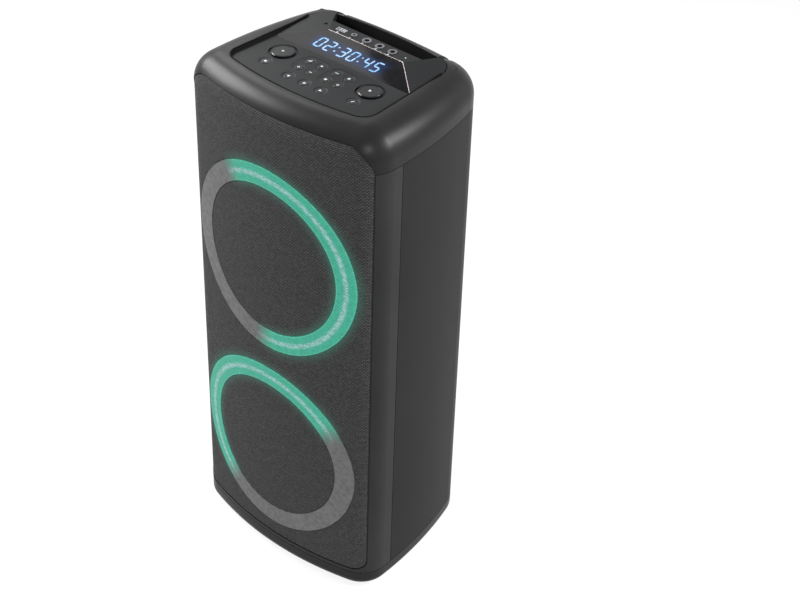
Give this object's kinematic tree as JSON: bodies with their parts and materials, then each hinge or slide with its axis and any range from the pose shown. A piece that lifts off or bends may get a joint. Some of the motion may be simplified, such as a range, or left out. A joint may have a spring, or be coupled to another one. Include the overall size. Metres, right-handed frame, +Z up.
{
  "type": "party speaker",
  "caption": "Tall bowed tower loudspeaker with cloth grille, two glowing ring lights, sloped display, round keys and dials on top and a rear grip bar.",
  "frame": {"origin": "centre of the bounding box's base, on the plane the feet stand on", "axes": "+Z up, the grille faces -Y, +X to the right of someone who looks at the grille"},
  "size_m": [0.3076, 0.253, 0.7048],
  "materials": {
    "cabinet_plastic": "fine satin moulded charcoal",
    "frame_plastic": "satin moulded charcoal",
    "grip_plastic": "matt soft-touch black",
    "deck_plastic": "satin dark grey",
    "key_plastic": "satin black",
    "inner_plastic": "plain black",
    "grille_cloth": "woven dark grey speaker cloth",
    "light_guide": "translucent diffuser",
    "display_lens": "gloss black window",
    "circuit_board": "green board",
    "pressed_steel": "black pressed steel",
    "magnet": "ferrite",
    "cone": "coated paper",
    "rubber": "matt rubber",
    "bright_metal": "plated",
    "socket_metal": "plated nut",
    "baffle_board": "black-faced fibreboard"
  },
  "bodies": {
    "cabinet": {"base_plinth": "cabinet_plastic", "top_cap": "cabinet_plastic", "handle_bar": "grip_plastic", "rear_shell": "cabinet_plastic", "front_frame": "frame_plastic", "grille_frame": "inner_plastic", "grille_cloth": "grille_cloth", "light_ring_upper": "light_guide", "light_ring_lower": "light_guide", "led_board_upper": "circuit_board", "led_board_lower": "circuit_board", "cloth_disc_upper": "grille_cloth", "cloth_disc_lower": "grille_cloth", "woofer_guard_upper": "inner_plastic", "woofer_guard_lower": "inner_plastic", "woofer_basket_upper": "pressed_steel", "woofer_basket_lower": "pressed_steel", "woofer_magnet_upper": "magnet", "woofer_magnet_lower": "magnet", "woofer_cone_upper": "cone", "woofer_cone_lower": "cone", "woofer_surround_upper": "rubber", "woofer_surround_lower": "rubber", "woofer_screws": "bright_metal", "front_baffle": "baffle_board", "control_panel": "deck_plastic", "display_window": "display_lens", "display_board": "circuit_board", "control_board": "circuit_board", "hand_cup": "deck_plastic", "handle_pins": "bright_metal", "usb_socket": "bright_metal", "aux_socket": "socket_metal", "jack_sockets": "socket_metal", "connection_plate": "inner_plastic", "plate_screws": "bright_metal", "ac_inlet": "inner_plastic", "switch_body": "inner_plastic", "port_tube": "inner_plastic", "amplifier_board": "circuit_board", "power_supply": "pressed_steel", "battery_pack": "inner_plastic", "feet": "rubber"},
    "button_side_left": {"button_side_left": "key_plastic"},
    "button_side_right": {"button_side_right": "key_plastic"},
    "button_row_1": {"button_row_1": "key_plastic"},
    "button_row_2": {"button_row_2": "key_plastic"},
    "button_row_3": {"button_row_3": "key_plastic"},
    "button_grid_1": {"button_grid_1": "key_plastic"},
    "button_grid_2": {"button_grid_2": "key_plastic"},
    "button_grid_3": {"button_grid_3": "key_plastic"},
    "button_grid_4": {"button_grid_4": "key_plastic"},
    "button_grid_5": {"button_grid_5": "key_plastic"},
    "button_grid_6": {"button_grid_6": "key_plastic"},
    "button_grid_7": {"button_grid_7": "key_plastic"},
    "button_grid_8": {"button_grid_8": "key_plastic"},
    "dial_left": {"dial_left": "key_plastic"},
    "dial_right": {"dial_right": "key_plastic"},
    "power_rocker": {"power_rocker": "key_plastic"}
  },
  "joints": [
    {"name": "button_side_left_press", "type": "slide", "parent": "cabinet", "child": "button_side_left", "axis": [0, 0, -1], "range_m": [0, 0.0005], "stiffness_N_per_m": 600},
    {"name": "button_side_right_press", "type": "slide", "parent": "cabinet", "child": "button_side_right", "axis": [0, 0, -1], "range_m": [0, 0.0005], "stiffness_N_per_m": 600},
    {"name": "button_row_1_press", "type": "slide", "parent": "cabinet", "child": "button_row_1", "axis": [0, 0, -1], "range_m": [0, 0.0005], "stiffness_N_per_m": 600},
    {"name": "button_row_2_press", "type": "slide", "parent": "cabinet", "child": "button_row_2", "axis": [0, 0, -1], "range_m": [0, 0.0005], "stiffness_N_per_m": 600},
    {"name": "button_row_3_press", "type": "slide", "parent": "cabinet", "child": "button_row_3", "axis": [0, 0, -1], "range_m": [0, 0.0005], "stiffness_N_per_m": 600},
    {"name": "button_grid_1_press", "type": "slide", "parent": "cabinet", "child": "button_grid_1", "axis": [0, 0, -1], "range_m": [0, 0.0005], "stiffness_N_per_m": 600},
    {"name": "button_grid_2_press", "type": "slide", "parent": "cabinet", "child": "button_grid_2", "axis": [0, 0, -1], "range_m": [0, 0.0005], "stiffness_N_per_m": 600},
    {"name": "button_grid_3_press", "type": "slide", "parent": "cabinet", "child": "button_grid_3", "axis": [0, 0, -1], "range_m": [0, 0.0005], "stiffness_N_per_m": 600},
    {"name": "button_grid_4_press", "type": "slide", "parent": "cabinet", "child": "button_grid_4", "axis": [0, 0, -1], "range_m": [0, 0.0005], "stiffness_N_per_m": 600},
    {"name": "button_grid_5_press", "type": "slide", "parent": "cabinet", "child": "button_grid_5", "axis": [0, 0, -1], "range_m": [0, 0.0005], "stiffness_N_per_m": 600},
    {"name": "button_grid_6_press", "type": "slide", "parent": "cabinet", "child": "button_grid_6", "axis": [0, 0, -1], "range_m": [0, 0.0005], "stiffness_N_per_m": 600},
    {"name": "button_grid_7_press", "type": "slide", "parent": "cabinet", "child": "button_grid_7", "axis": [0, 0, -1], "range_m": [0, 0.0005], "stiffness_N_per_m": 600},
    {"name": "button_grid_8_press", "type": "slide", "parent": "cabinet", "child": "button_grid_8", "axis": [0, 0, -1], "range_m": [0, 0.0005], "stiffness_N_per_m": 600},
    {"name": "dial_left_turn", "type": "hinge", "parent": "cabinet", "child": "dial_left", "pos_m": [-0.0695, -0.0195, 0.697], "axis": [0, 0, 1], "continuous": true},
    {"name": "dial_right_turn", "type": "hinge", "parent": "cabinet", "child": "dial_right", "pos_m": [0.0695, -0.0195, 0.697], "axis": [0, 0, 1], "continuous": true},
    {"name": "power_rocker_tilt", "type": "hinge", "parent": "cabinet", "child": "power_rocker", "pos_m": [-0.028, 0.1175, 0.096], "axis": [1, 0, 0], "range_deg": [-16, 0]}
  ]
}
